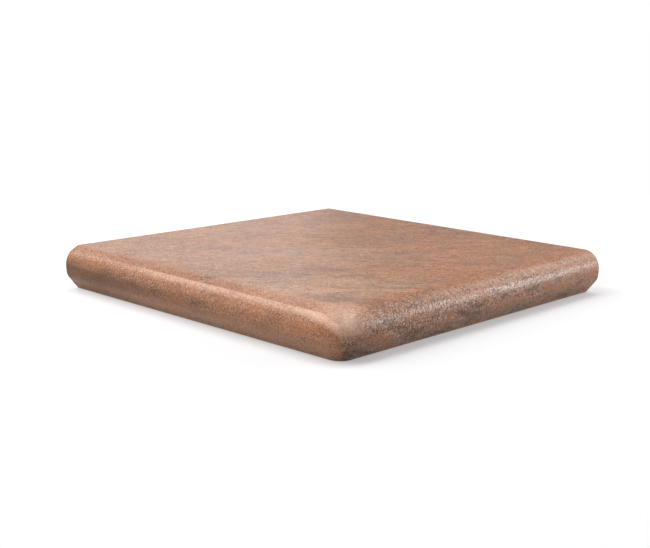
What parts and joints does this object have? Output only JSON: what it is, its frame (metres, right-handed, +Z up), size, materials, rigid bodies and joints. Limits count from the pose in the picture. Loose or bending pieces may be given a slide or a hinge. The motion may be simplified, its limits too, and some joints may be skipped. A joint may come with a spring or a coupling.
{
  "type": "corner stair tread tile",
  "caption": "Square fired stoneware stair tread with a rounded, undercut nose along two meeting sides, for the outer corner of a step.",
  "frame": {"origin": "under the middle of the tile's outline, at the level of the floor that the feet of the noses rest on", "axes": "+Z up out of the tread; the noses are on the -X and -Y sides and meet at the rounded corner; the plain edges are on the +X and +Y sides"},
  "size_m": [0.33, 0.33, 0.038],
  "materials": {
    "stoneware": "satin rust-brown clouded glaze on the tread and noses, bare fired clay on the plain edges and underneath"
  },
  "bodies": {
    "root": {"tread_tile": "stoneware"}
  },
  "joints": []
}
